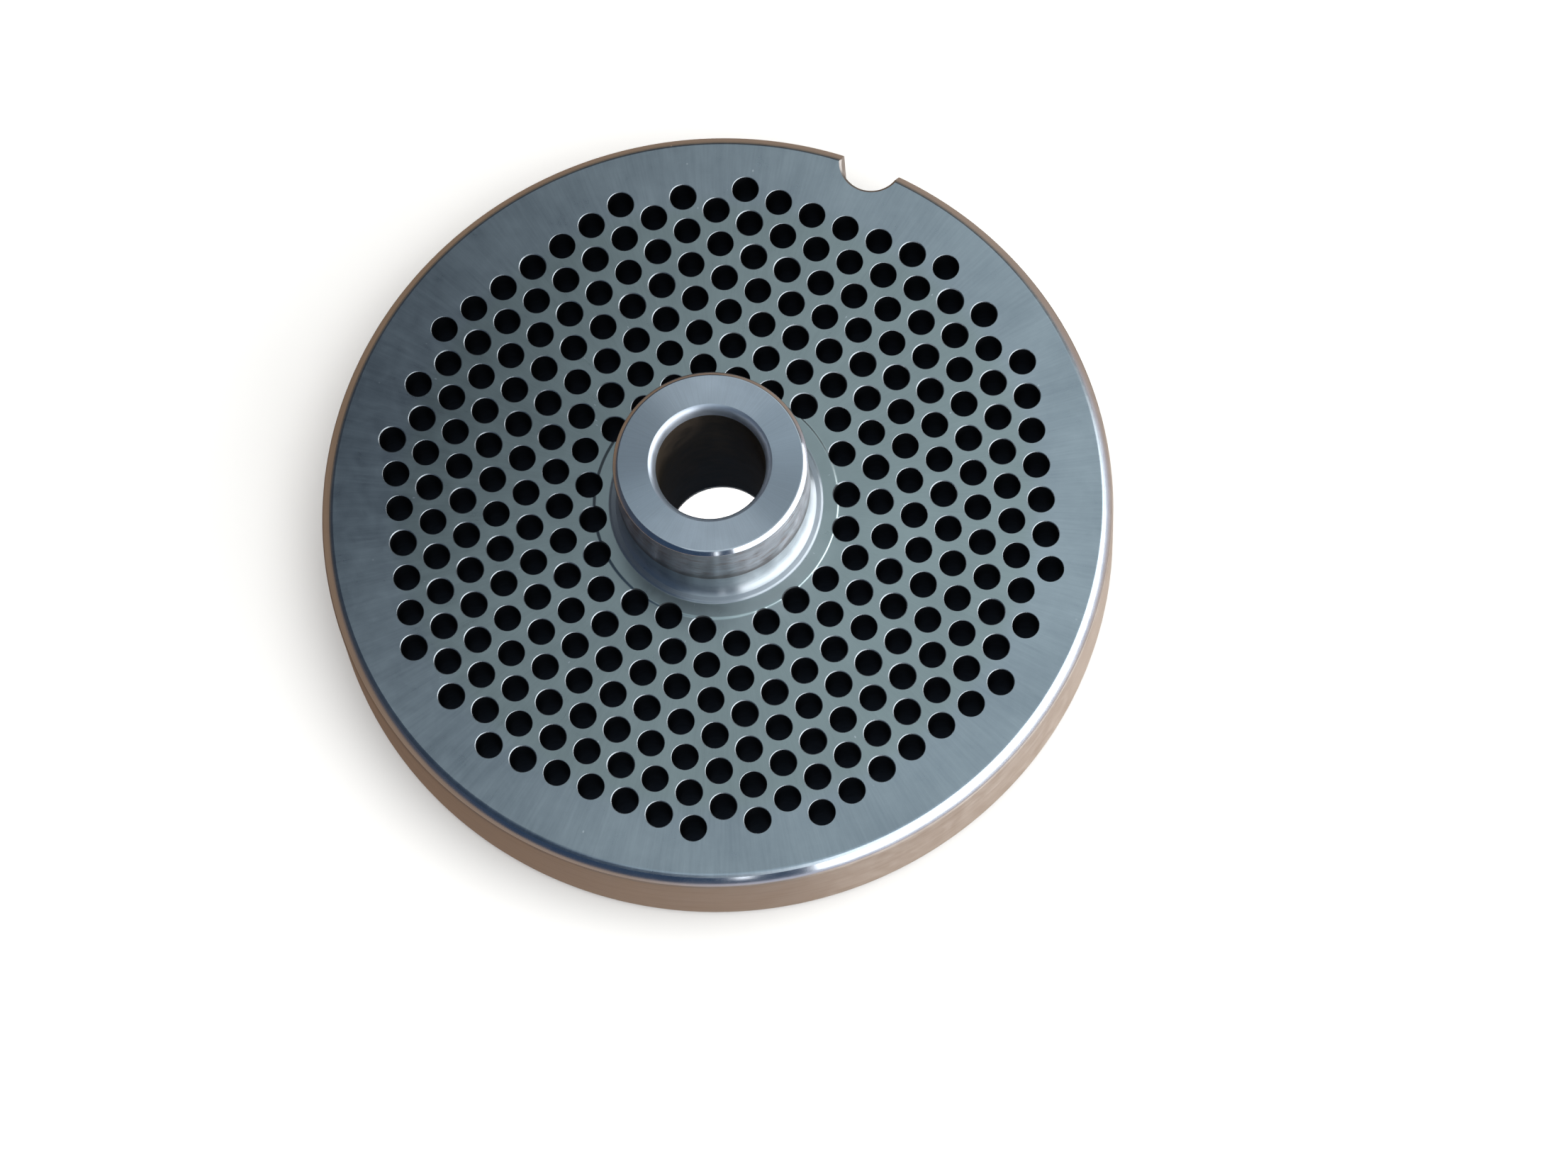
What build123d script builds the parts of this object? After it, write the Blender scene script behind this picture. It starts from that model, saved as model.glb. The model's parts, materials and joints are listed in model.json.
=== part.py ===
from build123d import *
import math
import os

# Hubbed plate for a meat grinder: one turned, drilled and ground steel disc
# with a round hub on its outlet face.
# Frame: millimetres, +Z up along the bore, origin on the bore's axis at the
# underside (the flat face that the knife runs on). The locating notch lies
# towards +Y, and one row of the hole pattern runs along X.

# ---- disc ----
plate_d = 82.5          # outside diameter of the disc
plate_t = 11.5          # thickness between the two ground faces
rim_break_top = 1.15    # 45 degree rim chamfer, outlet face
rim_break_bottom = 0.8  # 45 degree rim chamfer, knife face
rim_blend = 0.8         # radius that blends each rim chamfer into the side wall

# ---- hub ----
hub_d = 20.0            # outside diameter of the hub
hub_h = 12.65           # height of the hub above the outlet face
hub_break = 0.45        # 45 degree chamfer on the hub's outer top edge
neck_d = 19.3           # turned neck at the foot of the hub
neck_top = 4.9          # height above the outlet face where the neck ends
root_r = 1.60           # root arc from the neck down to the collar
root_end = 60.0         # slope of the normal where the root arc meets the collar, degrees
root_d = 20.9           # diameter at the foot of the root arc
collar_d = 22.1         # small turned collar
collar_h = 0.30         # height of the collar above the outlet face
land_d = 25.4           # turned land around the collar
land_h = 0.15           # height of the land above the outlet face
step_run = 0.12         # radial run of each small sloped step

# ---- bore ----
bore_d = 11.1           # through bore that the grinder's stud runs in
bore_top_r = 0.72       # lead-in at the hub's end, radial size
bore_top_z = 1.45       # lead-in at the hub's end, axial size
worn_r = 0.11           # slight bell mouth below the lead-in, radial size
worn_z = 1.60           # slight bell mouth below the lead-in, axial size
bore_bottom = 0.50      # 45 degree lead-in at the knife face

# ---- locating notch ----
notch_r = 3.175         # half-round notch for the grinder's locating pin
notch_at = 41.1         # distance of the notch's axis from the bore's axis
notch_break = 0.25      # 45 degree edge break around the notch, both faces

# ---- hole pattern ----
pitch = 3.83            # centre to centre, on a triangular grid
hole_d = 2.78           # diameter of each hole
hole_break = 0.12       # edge break on the outlet face; the knife face stays sharp
grid_shift_x = 0.39     # the drilled grid sits a little off the bore's axis
ring_min = 12           # holes kept: ring_min <= i*i + i*j + j*j <= ring_max
ring_max = 84
# two holes that wandered when they were drilled: grid index -> shift in mm
wandered = {(4, -1): (-0.20, -0.78), (4, -2): (0.30, -0.61)}

r_out = plate_d / 2
r_hub = hub_d / 2
r_bore = bore_d / 2
z_top = plate_t + hub_h


def blend_45(x_wall, z_corner, radius, up):
    """Three points of the arc that joins a 45 degree chamfer to a wall at
    x_wall; z_corner is where the two would meet, and up is +1 where the
    chamfer runs upwards from the wall."""
    t = radius * math.tan(math.radians(22.5))
    c = (x_wall - radius, z_corner - up * t)
    pts = [(c[0] + radius * math.cos(a), c[1] + up * radius * math.sin(a))
           for a in (0.0, math.pi / 8, math.pi / 4)]
    return pts


# ---- half section, revolved about the bore's axis ----
low = blend_45(r_out, rim_break_bottom, rim_blend, -1)   # from wall down
high = blend_45(r_out, plate_t - rim_break_top, rim_blend, 1)

z_collar = plate_t + collar_h
z_land = plate_t + land_h
r_neck = neck_d / 2
end = math.radians(root_end)
root_c = (root_d / 2 + root_r * math.cos(end), z_collar + root_r * math.sin(end))
root_low, root_mid, root_high = [
    (root_c[0] - root_r * math.cos(a), root_c[1] - root_r * math.sin(a))
    for a in (end, end / 2, 0.0)]
assert abs(root_high[0] - r_neck) < 0.01, "the root arc runs out on the neck"
root_high = (r_neck, root_high[1])
z_shoulder = plate_t + neck_top         # lower edge of the hub's full diameter
r_in = r_bore + worn_r + bore_top_r     # lead-in's edge on the hub's end face

with BuildPart() as bp:
    with BuildSketch(Plane.XZ) as half:
        with BuildLine():
            Line((r_bore + bore_bottom, 0), (r_out - rim_break_bottom, 0))
            Line((r_out - rim_break_bottom, 0), low[2])
            ThreePointArc(low[2], low[1], low[0])
            Line(low[0], high[0])
            ThreePointArc(high[0], high[1], high[2])
            Line(high[2], (r_out - rim_break_top, plate_t))
            Line((r_out - rim_break_top, plate_t), (land_d / 2 + step_run, plate_t))
            Line((land_d / 2 + step_run, plate_t), (land_d / 2, z_land))
            Line((land_d / 2, z_land), (collar_d / 2 + step_run, z_land))
            Line((collar_d / 2 + step_run, z_land), (collar_d / 2, z_collar))
            Line((collar_d / 2, z_collar), root_low)
            ThreePointArc(root_low, root_mid, root_high)
            Line(root_high, (r_neck, z_shoulder - (r_hub - r_neck)))
            Line((r_neck, z_shoulder - (r_hub - r_neck)), (r_hub, z_shoulder))
            Line((r_hub, z_shoulder), (r_hub, z_top - hub_break))
            Line((r_hub, z_top - hub_break), (r_hub - hub_break, z_top))
            Line((r_hub - hub_break, z_top), (r_in, z_top))
            Line((r_in, z_top), (r_bore + worn_r, z_top - bore_top_z))
            Line((r_bore + worn_r, z_top - bore_top_z), (r_bore, z_top - bore_top_z - worn_z))
            Line((r_bore, z_top - bore_top_z - worn_z), (r_bore, bore_bottom))
            Line((r_bore, bore_bottom), (r_bore + bore_bottom, 0))
        make_face()
    revolve(axis=Axis.Z)

blank = bp.part


def turned_cutter(points):
    """Solid of revolution about Z from (radius, height) points."""
    with BuildPart() as b:
        with BuildSketch(Plane.XZ):
            with BuildLine():
                Polyline(*points, close=True)
            make_face()
        revolve(axis=Axis.Z)
    return b.part


# ---- locating notch: half-round slot with its edges broken on both faces ----
nb = notch_break
notch_tool = turned_cutter([
    (0, -1), (notch_r + nb + 1, -1), (notch_r, nb),
    (notch_r, plate_t - nb), (notch_r + nb + 1, plate_t + 1), (0, plate_t + 1)])

# ---- one hole: straight bore, edge broken on the outlet face only ----
hole_r = hole_d / 2
hole_tool = turned_cutter([
    (0, -1), (hole_r, -1), (hole_r, plate_t - hole_break),
    (hole_r + hole_break, plate_t), (hole_r + hole_break, plate_t + 0.6),
    (0, plate_t + 0.6)])

centres = []
n = 10
for i in range(-n, n + 1):
    for j in range(-n, n + 1):
        q = i * i + i * j + j * j
        if not ring_min <= q <= ring_max:
            continue
        dx, dy = wandered.get((i, j), (0.0, 0.0))
        centres.append((grid_shift_x + pitch * (i + j / 2) + dx,
                        -pitch * j * math.sqrt(3) / 2 + dy))

tools = [Pos(x, y, 0) * hole_tool for x, y in centres]
plate = blank - tools - (Pos(0, notch_at, 0) * notch_tool)

solids = plate.solids()
assert len(solids) == 1, len(solids)
solid = solids[0]
solid.label = "grinder_plate"

os.makedirs("parts", exist_ok=True)
export_step(solid, "parts/grinder_plate.step")
print("holes", len(centres), "volume mm3", round(solid.volume, 1), "valid", solid.is_valid)
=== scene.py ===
import json
import math
import random

import bmesh
import bpy
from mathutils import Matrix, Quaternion, Vector
from mathutils.geometry import delaunay_2d_cdt

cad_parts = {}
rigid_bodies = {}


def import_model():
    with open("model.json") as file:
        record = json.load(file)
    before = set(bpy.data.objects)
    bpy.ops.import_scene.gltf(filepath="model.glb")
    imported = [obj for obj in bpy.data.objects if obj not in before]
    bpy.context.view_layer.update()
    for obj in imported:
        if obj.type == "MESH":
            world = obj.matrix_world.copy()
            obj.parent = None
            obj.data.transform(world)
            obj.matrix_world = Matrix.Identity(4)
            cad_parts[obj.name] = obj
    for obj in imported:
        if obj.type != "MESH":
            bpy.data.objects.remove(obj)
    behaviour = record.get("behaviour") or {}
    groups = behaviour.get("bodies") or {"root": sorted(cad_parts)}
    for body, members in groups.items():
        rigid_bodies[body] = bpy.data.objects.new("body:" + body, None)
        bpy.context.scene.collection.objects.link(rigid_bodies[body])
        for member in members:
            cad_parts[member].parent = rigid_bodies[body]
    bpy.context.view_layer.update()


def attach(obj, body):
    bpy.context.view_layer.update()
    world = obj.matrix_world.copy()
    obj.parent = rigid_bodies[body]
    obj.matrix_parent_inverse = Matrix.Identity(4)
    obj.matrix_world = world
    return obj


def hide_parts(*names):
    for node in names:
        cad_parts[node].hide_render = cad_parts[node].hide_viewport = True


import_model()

# --------------------------------------------------------------------------
# sizes, in millimetres, as in the CAD
# --------------------------------------------------------------------------
MM = 0.001
R_OUT, T = 41.25, 11.5
BREAK_TOP, BREAK_LOW, BLEND = 1.15, 0.8, 0.8
R_HUB, HUB_H, HUB_BREAK = 10.0, 12.65, 0.45
ROOT_R, ROOT_END, ROOT_X = 1.60, 60.0, 10.45
NECK_R, NECK_TOP = 9.65, 4.90
COLLAR_R, COLLAR_H = 11.05, 0.30
LAND_R, LAND_H, STEP = 12.7, 0.15, 0.12
R_BORE, LEAD_R, LEAD_Z, LEAD_LOW = 5.55, 0.72, 1.45, 0.50
WORN_R, WORN_Z = 0.11, 1.60
NOTCH_R, NOTCH_AT, NOTCH_BREAK = 3.175, 41.1, 0.25
PITCH, HOLE_R, HOLE_BREAK, SHIFT = 3.83, 1.39, 0.12, 0.39
WANDERED = {(4, -1): (-0.20, -0.78), (4, -2): (0.30, -0.61)}
Z_TOP = T + HUB_H

N_RIM, N_HUB, N_NOTCH, N_HOLE = 600, 384, 44, 48

rng = random.Random(22)

# material slots of the body
FACE, RIM, CHAMFER, HUBWALL, HUBTOP, LEADIN, BORE, HOLE_EDGE, HOLE_WALL, NOTCH, ROOT, KNIFE, COLLAR = range(13)

verts = []          # (x, y, z) in mm
faces = []          # (vertex numbers, material, smoothing group)


def vert(x, y, z):
    verts.append((x, y, z))
    return len(verts) - 1


def strip(a, b, mat, group, closed=True):
    """Quads between two rows of vertex numbers."""
    n = len(a)
    for i in range(n if closed else n - 1):
        j = (i + 1) % n
        faces.append(((a[i], a[j], b[j], b[i]), mat, group))


def arc(cx, cz, r, a0, a1, steps):
    """Points of an arc in the half section, angles in degrees."""
    out = []
    for k in range(steps + 1):
        a = math.radians(a0 + (a1 - a0) * k / steps)
        out.append((cx + r * math.cos(a), cz + r * math.sin(a)))
    return out


def ring(r, z, n=N_HUB):
    return [vert(r * math.cos(2 * math.pi * k / n), r * math.sin(2 * math.pi * k / n), z)
            for k in range(n)]


# --------------------------------------------------------------------------
# rim: rows of vertices round the disc, broken by the locating notch
# --------------------------------------------------------------------------
t8 = BLEND * math.tan(math.radians(22.5))
profile = []        # (radius, z, material of the strip above this row)
profile += [(p, z, CHAMFER) for p, z in [(R_OUT - BREAK_LOW, 0.0)]]
profile += [(R_OUT - BREAK_LOW + NOTCH_BREAK, NOTCH_BREAK, CHAMFER)]
profile += [(p, z, RIM) for p, z in arc(R_OUT - BLEND, BREAK_LOW + t8, BLEND, -45, 0, 6)]
for k in range(1, 3):
    z0, z1 = BREAK_LOW + t8, T - BREAK_TOP - t8
    profile.append((R_OUT, z0 + (z1 - z0) * k / 3, RIM))
# the upper chamfer is a little crowned and runs into the wall and the face in
# one sweep: the slope of its normal goes from 0 to 90 degrees, slowest near 48
CROWN, N_SWEEP = 0.28, 22
sweep = [(0.0, 0.0)]
for k in range(N_SWEEP):
    u = 2 * (k + 0.5) / N_SWEEP - 1
    b = math.radians(45 + 45 * (CROWN * u + (1 - CROWN) * u ** 7) + 3.5 * (1 - u * u))
    sweep.append((sweep[-1][0] + math.sin(b), sweep[-1][1] + math.cos(b)))
run_x, run_z = BREAK_TOP + 0.10, BREAK_TOP + t8
for k, (sx, sz) in enumerate(sweep):
    profile.append((R_OUT - run_x * sx / sweep[-1][0], T - run_z + run_z * sz / sweep[-1][1],
                    RIM if k < 4 else CHAMFER if k < N_SWEEP - 6 else FACE))


def notch_radius(z):
    return NOTCH_R + max(0.0, NOTCH_BREAK - z) + max(0.0, z - (T - NOTCH_BREAK))


def with_level(rows, z):
    """Adds a row at height z by interpolation if there is none."""
    for k in range(len(rows) - 1):
        (ra, za, ma), (rb, zb, _) = rows[k], rows[k + 1]
        if za + 1e-6 < z < zb - 1e-6:
            f = (z - za) / (zb - za)
            return rows[:k + 1] + [(ra + (rb - ra) * f, z, ma)] + rows[k + 1:]
    return rows


profile = with_level(profile, T - NOTCH_BREAK)
rim_rows, notch_rows = [], []
for rho, z, _ in profile:
    rn = notch_radius(z)
    d = math.acos((rho * rho + NOTCH_AT ** 2 - rn * rn) / (2 * NOTCH_AT * rho))
    a0, a1 = math.pi / 2 + d, 2.5 * math.pi - d
    row = []
    for k in range(N_RIM + 1):
        a = a0 + (a1 - a0) * k / N_RIM
        row.append(vert(rho * math.cos(a), rho * math.sin(a), z))
    rim_rows.append(row)
    te_ = math.atan2(rho * math.cos(d) - NOTCH_AT, rho * math.sin(d))
    nrow = [row[-1]]
    for k in range(1, N_NOTCH):
        a = te_ + (-math.pi - 2 * te_) * k / N_NOTCH
        nrow.append(vert(rn * math.cos(a), NOTCH_AT + rn * math.sin(a), z))
    nrow.append(row[0])
    notch_rows.append(nrow)
for k in range(len(profile) - 1):
    strip(rim_rows[k], rim_rows[k + 1], profile[k][2], 1, closed=False)
    za, zb = profile[k][1], profile[k + 1][1]
    wall = za > NOTCH_BREAK - 1e-6 and zb < T - NOTCH_BREAK + 1e-6
    strip(notch_rows[k], notch_rows[k + 1], NOTCH, 2 if wall else 3 + (za > 1), closed=False)

# --------------------------------------------------------------------------
# hub and bore: rows turned about the bore's axis
# --------------------------------------------------------------------------
Z_LAND, Z_COLLAR = T + LAND_H, T + COLLAR_H
hub = []            # (radius, z, material, group) of the strip that starts here


def rounded(pts, r, steps=3):
    """Replaces each corner inside a path by a small arc of radius r."""
    out = [pts[0]]
    for k in range(1, len(pts) - 1):
        p, a, b = Vector(pts[k]), Vector(pts[k - 1]), Vector(pts[k + 1])
        ua, ub = (a - p).normalized(), (b - p).normalized()
        half = ua.angle(ub) / 2
        t = min(r / math.tan(half), 0.45 * (a - p).length, 0.45 * (b - p).length)
        q = t * math.tan(half)
        c = p + (ua + ub).normalized() * (q / math.sin(half))
        a0 = math.atan2(*(p + ua * t - c).yx)
        a1 = math.atan2(*(p + ub * t - c).yx)
        d = (a1 - a0 + math.pi) % (2 * math.pi) - math.pi
        for m in range(steps + 1):
            g = a0 + d * m / steps
            out.append((c.x + q * math.cos(g), c.y + q * math.sin(g)))
    return out + [pts[-1]]


# worn step up from the land to the collar, then the collar's flat top
for k in range(9):
    f = k / 8
    hub.append((COLLAR_R + STEP - 0.28 * f, Z_LAND + (Z_COLLAR - Z_LAND) * (0.5 - 0.5 * math.cos(math.pi * f)),
                COLLAR, 20))
for k in range(6):
    x0 = COLLAR_R + STEP - 0.32
    hub.append((x0 - (x0 - ROOT_X) * k / 6, Z_COLLAR, COLLAR, 20))
# root arc, the neck and its shoulder
b0 = math.radians(ROOT_END)
root_cx, root_cz = ROOT_X + ROOT_R * math.cos(b0), Z_COLLAR + ROOT_R * math.sin(b0)
for k in range(17):
    b = b0 * (1 - k / 16)
    hub.append((root_cx - ROOT_R * math.cos(b), root_cz - ROOT_R * math.sin(b), ROOT, 11))
z_neck, z_wall = T + NECK_TOP - (R_HUB - NECK_R), T + NECK_TOP
for k in range(1, 5):
    hub.append((NECK_R, root_cz + (z_neck - root_cz) * k / 5, ROOT, 11))
for p, z in rounded([(NECK_R, z_neck - 0.3), (NECK_R, z_neck), (R_HUB, z_wall), (R_HUB, z_wall + 0.6)], 0.15, 4)[1:-1]:
    hub.append((p, z, ROOT if z < z_wall - 0.1 else HUBWALL, 17))
for k in range(6):
    z0, z1 = z_wall + 0.6, Z_TOP - HUB_BREAK
    hub.append((R_HUB, z0 + (z1 - z0) * k / 6, HUBWALL, 17))
low_edge = []
re = 0.20
te = re * math.tan(math.radians(22.5))
for k in range(5):
    a = math.radians(0 + 45 * k / 4)
    low_edge.append((R_HUB - re + re * math.cos(a), Z_TOP - HUB_BREAK - te + re * math.sin(a)))
hub += [(p, z, CHAMFER, 17) for p, z in low_edge]
top_edge = []
for k in range(5):
    a = math.radians(45 + 45 * k / 4)
    top_edge.append((R_HUB - HUB_BREAK - te + re * math.cos(a), Z_TOP - re + re * math.sin(a)))
hub += [(p, z, CHAMFER, 17) for p, z in top_edge[:-1]]
hub.append((top_edge[-1][0], Z_TOP, HUBTOP, 12))
# lead-in of the bore, a little bell shaped
top_in, low_in = (R_BORE + WORN_R + LEAD_R, Z_TOP), (R_BORE + WORN_R, Z_TOP - LEAD_Z)
path = [(0.0, 0.0)]
for k in range(14):
    b = math.radians(10 + 58 * (1 - (k + 0.5) / 14) ** 2.2)
    path.append((path[-1][0] + math.sin(b), path[-1][1] + math.cos(b)))
for sx, sz in path[:-1]:
    hub.append((top_in[0] - (top_in[0] - low_in[0]) * sx / path[-1][0],
                Z_TOP - LEAD_Z * sz / path[-1][1], LEADIN, 13))
hub.append((R_BORE + WORN_R, Z_TOP - LEAD_Z, BORE, 14))
hub.append((R_BORE + WORN_R / 2, Z_TOP - LEAD_Z - WORN_Z / 2, BORE, 14))
for k in range(8):
    z0, z1 = Z_TOP - LEAD_Z - WORN_Z, LEAD_LOW
    hub.append((R_BORE, z0 + (z1 - z0) * k / 8, BORE, 14))
hub.append((R_BORE, LEAD_LOW, LEADIN, 15))
hub.append((R_BORE + LEAD_LOW, 0.0, KNIFE, 16))
hub_rows = [ring(p, z) for p, z, _, _ in hub]
for k in range(len(hub) - 1):
    strip(hub_rows[k], hub_rows[k + 1], hub[k][2], hub[k][3])

# --------------------------------------------------------------------------
# holes
# --------------------------------------------------------------------------
holes = []
for i in range(-10, 11):
    for j in range(-10, 11):
        if 12 <= i * i + i * j + j * j <= 84:
            dx, dy = WANDERED.get((i, j), (0.0, 0.0))
            holes.append((SHIFT + PITCH * (i + j / 2) + dx,
                          -PITCH * j * math.sqrt(3) / 2 + dy,
                          rng.uniform(0.045, 0.095)))


LAND_RINGS = [LAND_R + f * STEP for f in (-1.0, -0.3, 0.4, 1.0)]    # worn step


def face_height(r):
    f = min(1.0, max(0.0, (LAND_RINGS[-1] - r) / (LAND_RINGS[-1] - LAND_RINGS[0])))
    return T + LAND_H * (0.5 - 0.5 * math.cos(math.pi * f))


def triangulate(points, loops, keep):
    """Constrained triangulation of closed loops of numbers into points."""
    edges = []
    for loop in loops:
        for k in range(len(loop)):
            edges.append((loop[k], loop[(k + 1) % len(loop)]))
    out_v, _, out_f, orig_v, _, _ = delaunay_2d_cdt(
        [Vector(p) for p in points], edges, [], 0, 1e-7, True)
    tris = []
    for f in out_f:
        cx = sum(out_v[k].x for k in f) / 3
        cy = sum(out_v[k].y for k in f) / 3
        if keep(cx, cy):
            tris.append(tuple(f))
    return out_v, orig_v, tris


cell = {}
for n, (hx, hy, hb) in enumerate(holes):
    for gx in range(-1, 2):
        for gy in range(-1, 2):
            cell.setdefault((math.floor(hx / 4) + gx, math.floor(hy / 4) + gy), []).append(n)

polygon = math.cos(math.pi / N_HOLE)
sector = 2 * math.pi / N_HOLE
notch_polygon = math.cos(math.pi / N_NOTCH / 2)


def make_keep(r_in, rn, hole_radius):
    def keep(x, y):
        r = math.hypot(x, y)
        if r < r_in * math.cos(math.pi / N_HUB) - 1e-5:
            return False
        if math.hypot(x, y - NOTCH_AT) < rn * notch_polygon - 1e-5:
            return False
        for n in cell.get((math.floor(x / 4), math.floor(y / 4)), ()):
            hx, hy, hb = holes[n]
            a = (math.floor(math.atan2(y - hy, x - hx) / sector) + 0.5) * sector
            if (x - hx) * math.cos(a) + (y - hy) * math.sin(a) < hole_radius(hb) * polygon - 1e-7:
                return False
        return True
    return keep


# ---- outlet face ----
pts, ids, loops = [], [], []


def take(row):
    """Adds a row of body vertices to the triangulation's input."""
    start = len(pts)
    for v in row:
        pts.append(verts[v][:2])
        ids.append(v)
    return list(range(start, start + len(row)))


outer = rim_rows[-1] + notch_rows[-1][1:-1]
loops.append(take(outer))
loops.append(take(hub_rows[0]))
# a ring of level points beside each step keeps the shading of the flats level
for r in [COLLAR_R + STEP + 0.06, LAND_RINGS[0] - 0.06, *LAND_RINGS, LAND_RINGS[-1] + 0.06]:
    start = len(pts)
    for k in range(N_HUB):
        a = 2 * math.pi * (k + 0.5) / N_HUB
        pts.append((r * math.cos(a), r * math.sin(a)))
        ids.append(None)
    loops.append(list(range(start, start + N_HUB)))
for n, (hx, hy, hb) in enumerate(holes):
    start = len(pts)
    for k in range(N_HOLE):
        a = 2 * math.pi * k / N_HOLE
        pts.append((hx + (HOLE_R + hb) * math.cos(a), hy + (HOLE_R + hb) * math.sin(a)))
        ids.append(None)
    loops.append(list(range(start, start + N_HOLE)))

keep_top = make_keep(COLLAR_R + STEP, notch_radius(T), lambda b: HOLE_R + b)
out_v, orig_v, tris = triangulate(pts, loops, keep_top)
number = {}


def body_vertex(k):
    if k not in number:
        known = [ids[o] for o in orig_v[k] if ids[o] is not None]
        if known:
            number[k] = known[0]
        else:
            x, y = out_v[k].x, out_v[k].y
            number[k] = vert(x, y, face_height(math.hypot(x, y)))
    return number[k]


count = {}
for tri in tris:
    a, b, c = (body_vertex(k) for k in tri)
    faces.append(((a, b, c), FACE, 20))
    for e in ((a, b), (b, c), (c, a)):
        key = (min(e), max(e))
        count[key] = count.get(key, 0) + 1

# the open loops left round the holes
known_rows = set(outer) | set(hub_rows[0])
nxt = {}
for (a, b), n in count.items():
    if n == 1 and not (a in known_rows and b in known_rows):
        nxt.setdefault(a, []).append(b)
        nxt.setdefault(b, []).append(a)
hole_loops, seen = [], set()
for start in list(nxt):
    if start in seen:
        continue
    loop, prev, cur = [], None, start
    while cur not in seen:
        seen.add(cur)
        loop.append(cur)
        step = [v for v in nxt[cur] if v != prev and v not in seen]
        if not step:
            break
        prev, cur = cur, step[0]
    hole_loops.append(loop)

pts_low, ids_low, loops_low = [], [], []


def take_low(row):
    start = len(pts_low)
    for v in row:
        pts_low.append(verts[v][:2])
        ids_low.append(v)
    return list(range(start, start + len(row)))


loops_low.append(take_low(rim_rows[0] + notch_rows[0][1:-1]))
loops_low.append(take_low(hub_rows[-1]))
owner = {}          # number into pts_low -> which hole it lies on
for which, loop in enumerate(hole_loops):
    cx = sum(verts[v][0] for v in loop) / len(loop)
    cy = sum(verts[v][1] for v in loop) / len(loop)
    n = min(cell.get((math.floor(cx / 4), math.floor(cy / 4)), range(len(holes))),
            key=lambda n: math.hypot(holes[n][0] - cx, holes[n][1] - cy))
    hx, hy, hb = holes[n]
    mid, low = [], []
    for v in loop:
        x, y, _ = verts[v]
        d = math.hypot(x - hx, y - hy)
        ux, uy = (x - hx) / d, (y - hy) / d
        mid.append(vert(hx + HOLE_R * ux, hy + HOLE_R * uy, T - hb))
        low.append(vert(hx + HOLE_R * ux, hy + HOLE_R * uy, 0.0))
    strip(loop, mid, HOLE_EDGE, 30)
    strip(mid, low, HOLE_WALL, 31)
    loops_low.append(take_low(low))
    owner.update((k, which) for k in loops_low[-1])

# ---- knife face ----
keep_low = make_keep(R_BORE + LEAD_LOW, notch_radius(0), lambda b: HOLE_R)
out_l, orig_l, tris_l = triangulate(pts_low, loops_low, keep_low)
for tri in tris_l:
    own = [owner.get(orig_l[k][0], -1 - n) for n, k in enumerate(tri)]
    if own[0] == own[1] == own[2]:
        continue        # a sliver across the inside of a hole
    faces.append((tuple(ids_low[orig_l[k][0]] for k in tri), KNIFE, 40))

mesh = bpy.data.meshes.new("grinder_plate_body")
mesh.from_pydata([(x * MM, y * MM, z * MM) for x, y, z in verts], [], [f for f, _, _ in faces])
mesh.polygons.foreach_set("material_index", [m for _, m, _ in faces])
body = bpy.data.objects.new("grinder_plate_body", mesh)
bpy.context.scene.collection.objects.link(body)

bm = bmesh.new()
bm.from_mesh(mesh)
layer = bm.faces.layers.int.new("smoothing")
for f, (_, _, g) in zip(bm.faces, faces):
    f[layer] = g
    f.smooth = True
bm.verts.ensure_lookup_table()
loose = [v for v in bm.verts if not v.link_faces]
bmesh.ops.delete(bm, geom=loose, context="VERTS")
bmesh.ops.recalc_face_normals(bm, faces=bm.faces)
open_edges = sum(1 for e in bm.edges if len(e.link_faces) != 2)
for e in bm.edges:
    if len(e.link_faces) == 2 and e.link_faces[0][layer] != e.link_faces[1][layer]:
        e.smooth = False
volume = bm.calc_volume() * 1e9
if volume < 0:
    bmesh.ops.reverse_faces(bm, faces=bm.faces)
print("body: holes", len(hole_loops), "open edges", open_edges, "tris",
      sum(len(f.verts) - 2 for f in bm.faces), "volume mm3", round(abs(volume), 1))
bm.faces.layers.int.remove(layer)
bm.to_mesh(mesh)
bm.free()


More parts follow.
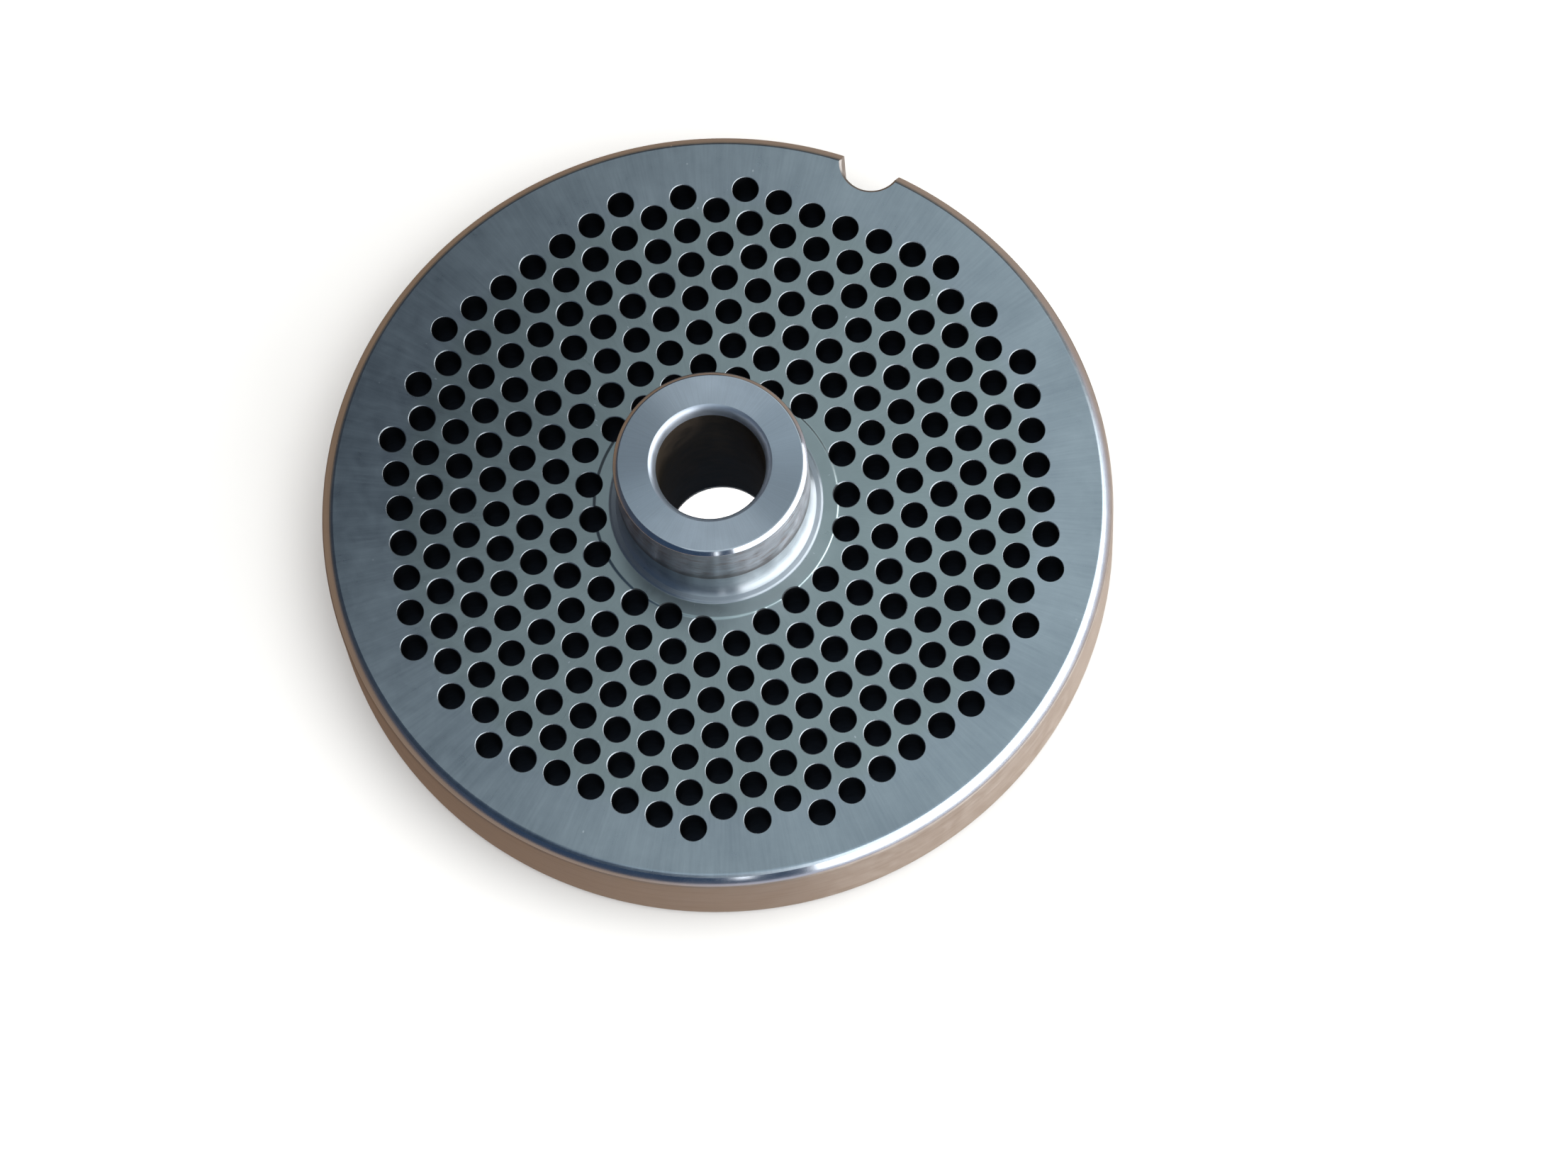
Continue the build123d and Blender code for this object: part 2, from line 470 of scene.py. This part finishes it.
# --------------------------------------------------------------------------
# materials
# --------------------------------------------------------------------------
class Net:
    """Short names for building a node tree."""

    def __init__(self, name):
        self.m = bpy.data.materials.new(name)
        self.m.use_nodes = True
        self.t = self.m.node_tree
        self.t.nodes.clear()
        self.out = self.node("ShaderNodeOutputMaterial")
        self.bsdf = self.node("ShaderNodeBsdfPrincipled")
        self.t.links.new(self.bsdf.outputs[0], self.out.inputs[0])
        tc = self.node("ShaderNodeTexCoord")
        self.p = self.vec("SCALE", tc.outputs["Object"], scale=1000.0)     # millimetres
        sep = self.node("ShaderNodeSeparateXYZ")
        self.link(self.p, sep.inputs[0])
        self.x, self.y, self.z = sep.outputs
        flat = self.join(self.x, self.y, 0.0)
        self.r = self.vec("LENGTH", flat)
        self.u = self.vec("NORMALIZE", flat)

    def node(self, kind, **props):
        n = self.t.nodes.new(kind)
        for k, v in props.items():
            setattr(n, k, v)
        return n

    def link(self, a, b):
        if isinstance(a, (int, float)):
            b.default_value = a
        elif isinstance(a, tuple):
            b.default_value = a
        else:
            self.t.links.new(a, b)

    def math(self, op, a, b=None, c=None, clamp=False):
        n = self.node("ShaderNodeMath", operation=op, use_clamp=clamp)
        for k, v in enumerate((a, b, c)):
            if v is not None:
                self.link(v, n.inputs[k])
        return n.outputs[0]

    def vec(self, op, a, b=None, scale=None):
        n = self.node("ShaderNodeVectorMath", operation=op)
        self.link(a, n.inputs[0])
        if b is not None:
            self.link(b, n.inputs[1])
        if scale is not None:
            self.link(scale, n.inputs["Scale"])
        return n.outputs["Value"] if op in ("LENGTH", "DOT_PRODUCT", "DISTANCE") else n.outputs[0]

    def join(self, x, y, z):
        n = self.node("ShaderNodeCombineXYZ")
        for k, v in enumerate((x, y, z)):
            self.link(v, n.inputs[k])
        return n.outputs[0]

    def polar(self, around, along, up=0.0):
        """Coordinates that run fast round the axis by `around`, along the radius
        by `along` and up by `up`, without a seam."""
        v = self.vec("SCALE", self.u, scale=float(around))
        s = self.node("ShaderNodeSeparateXYZ")
        self.link(v, s.inputs[0])
        z = self.math("MULTIPLY", self.r, float(along))
        if up:
            z = self.math("ADD", z, self.math("MULTIPLY", self.z, float(up)))
        return self.join(s.outputs[0], s.outputs[1], z)

    def noise(self, vector, scale=1.0, detail=3.0, rough=0.55, distortion=0.0):
        n = self.node("ShaderNodeTexNoise", noise_dimensions="3D")
        self.link(vector, n.inputs["Vector"])
        n.inputs["Scale"].default_value = scale
        n.inputs["Detail"].default_value = detail
        n.inputs["Roughness"].default_value = rough
        n.inputs["Distortion"].default_value = distortion
        return n.outputs["Fac"]

    def range(self, v, a, b, lo=0.0, hi=1.0, smooth=False):
        n = self.node("ShaderNodeMapRange", clamp=True)
        if smooth:
            n.interpolation_type = "SMOOTHSTEP"
        self.link(v, n.inputs["Value"])
        for name, val in (("From Min", a), ("From Max", b), ("To Min", lo), ("To Max", hi)):
            n.inputs[name].default_value = val
        return n.outputs["Result"]

    def mix(self, f, a, b, blend="MIX"):
        n = self.node("ShaderNodeMix", data_type="RGBA", blend_type=blend)
        n.clamp_factor = True
        self.link(f, n.inputs[0])
        for v, sock in ((a, n.inputs[6]), (b, n.inputs[7])):
            if isinstance(v, tuple) and len(v) == 3:
                v = v + (1.0,)
            self.link(v, sock)
        return n.outputs[2]

    def bump(self, height, strength, distance_mm, normal=None):
        n = self.node("ShaderNodeBump")
        n.inputs["Strength"].default_value = strength
        n.inputs["Distance"].default_value = distance_mm * MM
        self.link(height, n.inputs["Height"])
        if normal is not None:
            self.link(normal, n.inputs["Normal"])
        return n.outputs[0]

    def finish(self, color, rough, normal=None, metallic=1.0, grain=0.0, across=False, lay=0.0):
        """grain is how much the finish's lay stretches a highlight: round the axis,
        or across the lay of a turned surface."""
        if grain:
            tangent = self.node("ShaderNodeTangent", direction_type="RADIAL", axis="Z")
            self.link(tangent.outputs[0], self.bsdf.inputs["Tangent"])
            self.bsdf.inputs["Anisotropic"].default_value = grain
            self.bsdf.inputs["Anisotropic Rotation"].default_value = 0.25 if across else lay
        self.link(color, self.bsdf.inputs["Base Color"])
        self.link(rough, self.bsdf.inputs["Roughness"])
        self.bsdf.inputs["Metallic"].default_value = metallic
        if normal is not None:
            self.link(normal, self.bsdf.inputs["Normal"])
        return self.m


def ground_steel(name, light, dark, field, rough=0.30, streak=1.0, grain=0.6, calm=0.25, lay=0.0):
    """Rotary-ground steel: fine streaks that run out along the radius, cloudy
    patches, a few nicks, and a slightly greener tone between the holes."""
    n = Net(name)
    fine = n.noise(n.polar(150, 0.22), detail=4.0, rough=0.6)
    coarse = n.noise(n.polar(46, 0.10), detail=3.0, rough=0.55)
    cloud = n.noise(n.p, scale=0.10, detail=3.0, rough=0.5)
    patch = n.noise(n.p, scale=0.42, detail=4.0, rough=0.62, distortion=0.4)
    fade = n.range(n.r, 12.0, 17.0, calm, 1.0, smooth=True)
    near = n.math("MULTIPLY", fade, streak)
    lines = n.math("ADD", n.math("MULTIPLY", fine, 0.6), n.math("MULTIPLY", coarse, 0.4))
    tone = n.math("MULTIPLY_ADD", n.math("SUBTRACT", lines, 0.5), n.math("MULTIPLY", near, 0.48),
                  n.math("MULTIPLY", patch, 0.30))
    tone = n.math("ADD", tone, n.math("MULTIPLY", cloud, 0.45))
    f = n.range(tone, 0.235, 0.515)
    base = n.mix(f, dark, light)
    inside = n.range(n.r, 31.5, 35.0, 1.0, 0.0, smooth=True)
    base = n.mix(n.math("MULTIPLY", inside, 0.75), base, n.mix(f, tuple(0.84 * c for c in field), field))
    # a few small bright nicks and dark specks
    speck = n.node("ShaderNodeTexVoronoi", feature="F1")
    n.link(n.polar(30, 0.55), speck.inputs["Vector"])
    speck.inputs["Scale"].default_value = 0.9
    dot = n.range(speck.outputs["Distance"], 0.05, 0.085, 1.0, 0.0)
    pick = n.range(n.noise(n.p, scale=0.31, detail=1.0), 0.56, 0.62)
    dot = n.math("MULTIPLY", dot, pick)
    base = n.mix(dot, base, (0.86, 0.90, 0.93))
    pit = n.range(n.noise(n.p, scale=2.4, detail=2.0, rough=0.5), 0.765, 0.80)
    base = n.mix(n.math("MULTIPLY", pit, 0.10), base, tuple(0.45 * c for c in dark))
    ro = n.math("ADD", n.range(lines, 0.3, 0.7, rough - 0.02, rough + 0.02),
                n.range(patch, 0.3, 0.7, -0.025, 0.03))
    nrm = n.bump(n.math("MULTIPLY", n.math("ADD", fine, n.math("MULTIPLY", coarse, 0.5)), near), 0.13, 0.012)
    nrm = n.bump(patch, 0.06, 0.05, nrm)
    return n.finish(base, ro, nrm, grain=grain, lay=lay)


def turned_steel(name, light, dark, rough, around=3.0, along=14.0, up=14.0, bump=0.25, blot=0.5,
                 stain=None, grain=0.95, painted_shade_foot=None, vary=1.0):
    """Turned steel: fine lathe lines round the axis, with blotches over them."""
    n = Net(name)
    lines = n.noise(n.polar(around, along, up), detail=4.0, rough=0.6)
    band = n.noise(n.polar(2.0, along * 0.15, up * 0.15), detail=3.0, rough=0.5)
    patch = n.noise(n.p, scale=0.5, detail=4.0, rough=0.6, distortion=0.5)
    tone = n.math("ADD", n.math("MULTIPLY", lines, 0.5), n.math("MULTIPLY", band, 0.2))
    tone = n.math("ADD", tone, n.math("MULTIPLY", patch, 0.3))
    base = n.mix(n.range(tone, 0.38, 0.62), dark, light)
    if stain is not None:
        s = n.range(n.noise(n.polar(5.0, 0.5, 1.6), detail=5.0, rough=0.6), 0.50, 0.70, 0.0, blot)
        base = n.mix(s, base, stain)
    if painted_shade_foot is not None:        # painted shade at the lower edge, darker towards the bottom: the shadow line under the neck's shoulder
        low, high, tone_ = painted_shade_foot
        s = n.range(n.math("ADD", n.z, n.math("MULTIPLY", patch, 1.6)), low + 0.8, high + 0.8, 0.75, 0.0, smooth=True)
        base = n.mix(s, base, tone_)
    ro = n.math("ADD", n.range(lines, 0.3, 0.7, rough - 0.04 * vary, rough + 0.05 * vary),
                n.range(patch, 0.3, 0.7, -0.03 * vary, 0.04 * vary))
    nrm = n.bump(lines, bump, 0.01)
    return n.finish(base, ro, nrm, grain=grain, across=True)


def dark_wall(name, light, dark, rough):
    """Inside of a drilled hole: dull drill rings and oily patches, on steel painted near black as painted shade of the
    deep, narrow hole.
    """
    n = Net(name)
    rings = n.noise(n.join(n.math("MULTIPLY", n.x, 0.6), n.math("MULTIPLY", n.y, 0.6),
                           n.math("MULTIPLY", n.z, 6.0)), detail=3.0, rough=0.6)
    patch = n.noise(n.p, scale=0.8, detail=3.0)
    base = n.mix(n.range(n.math("ADD", n.math("MULTIPLY", rings, 0.6), n.math("MULTIPLY", patch, 0.4)),
                         0.35, 0.65), dark, light)
    ro = n.range(rings, 0.3, 0.7, rough - 0.08, rough + 0.08)
    return n.finish(base, ro, n.bump(rings, 0.4, 0.02))


mats = {
    FACE: ground_steel("steel_ground_face", (0.58, 0.65, 0.69), (0.43, 0.49, 0.535), (0.49, 0.575, 0.555)),
    KNIFE: ground_steel("steel_knife_face", (0.62, 0.66, 0.685), (0.47, 0.51, 0.54), (0.58, 0.62, 0.61), rough=0.30),
    # the warm tan of the rim's colours (light, dark and stained alike) is a painted reflection of a tan table top on
    # neutral steel; the blotches themselves are stains
    RIM: turned_steel("steel_turned_rim", (0.70, 0.625, 0.555), (0.60, 0.53, 0.465), 0.34, bump=0.2,
                      stain=(0.48, 0.385, 0.32), blot=0.3),
    CHAMFER: turned_steel("steel_chamfer", (0.80, 0.83, 0.87), (0.68, 0.71, 0.76), 0.16, along=10, up=10,
                          bump=0.03, grain=0.6, vary=0.35),
    # the hub wall darkens towards its lower edge: painted shade of the shadow line at the neck's shoulder
    HUBWALL: turned_steel("steel_hub_wall", (0.84, 0.85, 0.90), (0.58, 0.565, 0.585), 0.32, around=2.0,
                          along=2.0, up=9.0, bump=0.3, stain=(0.42, 0.29, 0.25), blot=0.65,
                          painted_shade_foot=(T + NECK_TOP, T + NECK_TOP + 2.4, (0.17, 0.135, 0.125))),
    HUBTOP: ground_steel("steel_hub_top", (0.71, 0.785, 0.86), (0.59, 0.655, 0.73), (0.71, 0.785, 0.86),
                         rough=0.42, streak=1.2, grain=0.9, calm=1.0, lay=0.4167),
    LEADIN: turned_steel("steel_lead_in", (0.84, 0.89, 0.96), (0.72, 0.77, 0.85), 0.42, bump=0.06, grain=0.6),
    # the bore wall's very dark colour is painted shade of the deep bore
    BORE: turned_steel("steel_bore", (0.20, 0.15, 0.11), (0.10, 0.075, 0.055), 0.34, up=5.0, bump=0.4),
    HOLE_EDGE: turned_steel("steel_hole_edge", (0.52, 0.555, 0.575), (0.40, 0.43, 0.45), 0.44, bump=0.15, grain=0.0),
    # the hole walls' near-black colour is painted shade of the deep, narrow holes
    HOLE_WALL: dark_wall("steel_hole_wall", (0.075, 0.075, 0.08), (0.03, 0.03, 0.033), 0.5),
    NOTCH: turned_steel("steel_notch", (0.60, 0.57, 0.54), (0.42, 0.385, 0.35), 0.33, around=2.0, along=2.0,
                        up=7.0, bump=0.35, stain=(0.30, 0.22, 0.17)),
    ROOT: turned_steel("steel_root", (0.70, 0.73, 0.75), (0.58, 0.61, 0.64), 0.32, along=12, up=12, bump=0.12),
    COLLAR: turned_steel("steel_collar", (0.70, 0.735, 0.77), (0.59, 0.625, 0.665), 0.40, along=9, up=9, bump=0.15),
}
for k in range(13):
    mesh.materials.append(mats[k])

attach(body, "root")
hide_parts("grinder_plate")

# --------------------------------------------------------------------------
# floor
# --------------------------------------------------------------------------
fm = bpy.data.meshes.new("floor")
S = 3.0
fm.from_pydata([(-S, -S, -0.00004), (S, -S, -0.00004), (S, S, -0.00004), (-S, S, -0.00004)], [], [(0, 1, 2, 3)])
floor = bpy.data.objects.new("floor", fm)
bpy.context.scene.collection.objects.link(floor)
fn = Net("floor_paper")
tone = fn.noise(fn.p, scale=0.02, detail=3.0)
fn.finish(fn.mix(tone, (0.83, 0.80, 0.765), (0.87, 0.845, 0.815)), 0.65, metallic=0.0)
fn.bsdf.inputs["Specular IOR Level"].default_value = 0.25
fm.materials.append(fn.m)
floor.visible_glossy = False

# a glowing tan card round the plate that only the steel's reflections see: a painted reflection of a table top that
# the rim and the chamfers mirror, with painted light brighter towards the window
card_pts, card_faces = [], []
for r in (0.0375, 0.12, 3.0):
    for k in range(96):
        a = 2 * math.pi * k / 96
        card_pts.append((r * math.cos(a), r * math.sin(a), -0.0003))
for m in range(2):
    for k in range(96):
        j = (k + 1) % 96
        card_faces.append((96 * m + k, 96 * m + j, 96 * (m + 1) + j, 96 * (m + 1) + k))
cmesh = bpy.data.meshes.new("tan_card")
cmesh.from_pydata(card_pts, [], card_faces)
card = bpy.data.objects.new("tan_card", cmesh)
bpy.context.scene.collection.objects.link(card)
cn = Net("card_tan")
toward = cn.vec("DOT_PRODUCT", cn.u, (0.993, -0.115, 0.0))
level = cn.math("POWER", cn.math("MULTIPLY_ADD", toward, 0.5, 0.5), 1.25)
glow = cn.node("ShaderNodeEmission")
tan = cn.mix(level, (0.245, 0.162, 0.106), (0.545, 0.430, 0.355))
# further out towards the window the table top shines pale
far = cn.range(cn.r, 55.0, 170.0, 0.0, 1.0, smooth=True)
tan = cn.mix(cn.math("MULTIPLY", far, cn.range(toward, 0.15, 0.75, smooth=True)), tan, (0.60, 0.63, 0.74))
# painted contact shadow: the card turns dark right under the rim's edge
painted_contact_shadow = cn.range(cn.r, 40.5, 41.4, 0.0, 1.0, smooth=True)
cn.link(cn.mix(painted_contact_shadow, (0.05, 0.036, 0.028), tan), glow.inputs["Color"])
cn.t.nodes.remove(cn.bsdf)
cn.link(glow.outputs[0], cn.out.inputs[0])
cmesh.materials.append(cn.m)
for flag in ("visible_camera", "visible_diffuse", "visible_transmission", "visible_shadow",
             "visible_volume_scatter"):
    setattr(card, flag, False)


# --------------------------------------------------------------------------
# light
# --------------------------------------------------------------------------
def panel(name, at, look, width, height, power, color=(1.0, 1.0, 1.0), spread=180.0):
    light = bpy.data.lights.new(name, "AREA")
    light.shape = "RECTANGLE"
    light.size, light.size_y = width, height
    light.energy = power
    light.color = color
    light.spread = math.radians(spread)
    o = bpy.data.objects.new(name, light)
    o.location = at
    o.rotation_mode = "QUATERNION"
    o.rotation_quaternion = (Vector(look) - Vector(at)).to_track_quat("-Z", "Y")
    o.visible_camera = False
    bpy.context.scene.collection.objects.link(o)
    return o


def polar_at(azimuth, elevation, dist):
    a, e = math.radians(azimuth), math.radians(elevation)
    return Vector((dist * math.cos(a) * math.cos(e), dist * math.sin(a) * math.cos(e), dist * math.sin(e)))


# soft box overhead on the right; its left edge falls across the plate's left side
ea, eh = math.radians(8.4), 0.30
edge_at = Vector((-0.070, 0.080, eh))
into = Vector((math.cos(ea), math.sin(ea), 0.0))
mid = edge_at + into * 0.26 + Vector((-math.sin(ea), math.cos(ea), 0.0)) * -0.11
over = panel("overhead", mid, mid - Vector((0.0, 0.0, 1.0)), 0.52, 0.86, 0.79, (0.83, 0.955, 1.0))
over.rotation_quaternion = Quaternion((0.0, 0.0, 1.0), ea)
# long low window to the right in four leaves, whose end is sharp
for k in range(4):
    a0, a1 = -50.0 + 26.0 * k, -24.0 + 26.0 * k
    ea, eb = polar_at(a0, 0, 0.80), polar_at(a1, 0, 0.80)
    mid = (ea + eb) / 2
    mid.z = 0.290
    panel("window_%d" % k, mid, (0.0, 0.0, 0.290), (eb - ea).length, 0.52,
          (1.45, 1.85, 1.95, 1.45)[k], (0.95, 0.975, 1.0))
# a narrow strip lamp near the camera's side
at = polar_at(-64.0, 20.0, 0.80)
panel("strip", at, (0.0, 0.0, 0.0), 0.035, 0.22, 0.05, (0.95, 0.98, 1.0))
# soft light for the floor alone, so that the paper stays pale out to the horizon
only = bpy.data.collections.new("floor_only")
only.objects.link(floor)
fill = panel("floor_fill", (0.42, 0.10, 0.85), (0.02, 0.0, 0.0), 0.90, 0.90, 2.2, (1.0, 0.99, 0.975))
fill.light_linking.receiver_collection = only
fill = panel("floor_fill_left", (-0.55, 0.30, 0.80), (-0.04, 0.02, 0.0), 0.90, 0.90, 1.3, (1.0, 0.99, 0.975))
fill.light_linking.receiver_collection = only
sun = bpy.data.lights.new("floor_sky", "SUN")
sun.energy, sun.angle, sun.color = 2.2, math.radians(80.0), (1.0, 0.995, 0.985)
sun_o = bpy.data.objects.new("floor_sky", sun)
sun_o.location = (0.0, 0.0, 1.0)
bpy.context.scene.collection.objects.link(sun_o)
sun_o.light_linking.receiver_collection = only
# a narrow beam straight down the bore, so that the paper is pale through it too
beam = bpy.data.lights.new("bore_beam", "SPOT")
beam.energy, beam.spot_size, beam.spot_blend = 26.0, math.radians(1.7), 0.15
beam.shadow_soft_size = 0.001
beam_o = bpy.data.objects.new("bore_beam", beam)
beam_o.location = (0.0, 0.0, 0.60)
bpy.context.scene.collection.objects.link(beam_o)
beam_o.light_linking.receiver_collection = only

world = bpy.data.worlds.new("studio")
bpy.context.scene.world = world
world.use_nodes = True
wt = world.node_tree
wt.nodes.clear()
wo = wt.nodes.new("ShaderNodeOutputWorld")
wtc = wt.nodes.new("ShaderNodeTexCoord")
dot = wt.nodes.new("ShaderNodeVectorMath")
dot.operation = "DOT_PRODUCT"
dot.inputs[1].default_value = (0.5, -0.866, 0.15)
wt.links.new(wtc.outputs["Generated"], dot.inputs[0])
ramp = wt.nodes.new("ShaderNodeValToRGB")
ramp.color_ramp.elements[0].position = 0.30
ramp.color_ramp.elements[0].color = (0.060, 0.066, 0.078, 1.0)
ramp.color_ramp.elements[1].position = 0.85
ramp.color_ramp.elements[1].color = (0.030, 0.055, 0.100, 1.0)
half = wt.nodes.new("ShaderNodeMapRange")
half.inputs["From Min"].default_value = -1.0
half.inputs["From Max"].default_value = 1.0
wt.links.new(dot.outputs["Value"], half.inputs["Value"])
wt.links.new(half.outputs["Result"], ramp.inputs[0])
bg = wt.nodes.new("ShaderNodeBackground")
bg.inputs[1].default_value = 1.0
wt.links.new(ramp.outputs[0], bg.inputs[0])
sky = wt.nodes.new("ShaderNodeBackground")
sky.inputs[0].default_value = (0.86, 0.87, 0.88, 1.0)
sky.inputs[1].default_value = 1.0
path = wt.nodes.new("ShaderNodeLightPath")
mixw = wt.nodes.new("ShaderNodeMixShader")
wt.links.new(path.outputs["Is Camera Ray"], mixw.inputs[0])
wt.links.new(bg.outputs[0], mixw.inputs[1])
wt.links.new(sky.outputs[0], mixw.inputs[2])
wt.links.new(mixw.outputs[0], wo.inputs[0])

# --------------------------------------------------------------------------
# camera
# --------------------------------------------------------------------------
cam = bpy.data.cameras.new("camera")
cam.lens, cam.sensor_width, cam.sensor_fit = 151.69705, 36.0, "HORIZONTAL"
cam.clip_start, cam.clip_end = 0.05, 20.0
co = bpy.data.objects.new("camera", cam)
co.location = (0.1180132049, -0.1891783128, 0.6613962388)
co.rotation_mode = "QUATERNION"
co.rotation_quaternion = Quaternion((0.967711573095848, 0.14890156904457025,
                                     0.05115390611840423, 0.19683981284601396))
bpy.context.scene.collection.objects.link(co)
bpy.context.scene.camera = co
bpy.context.scene.view_settings.view_transform = "Standard"
bpy.context.scene.view_settings.look = "None"
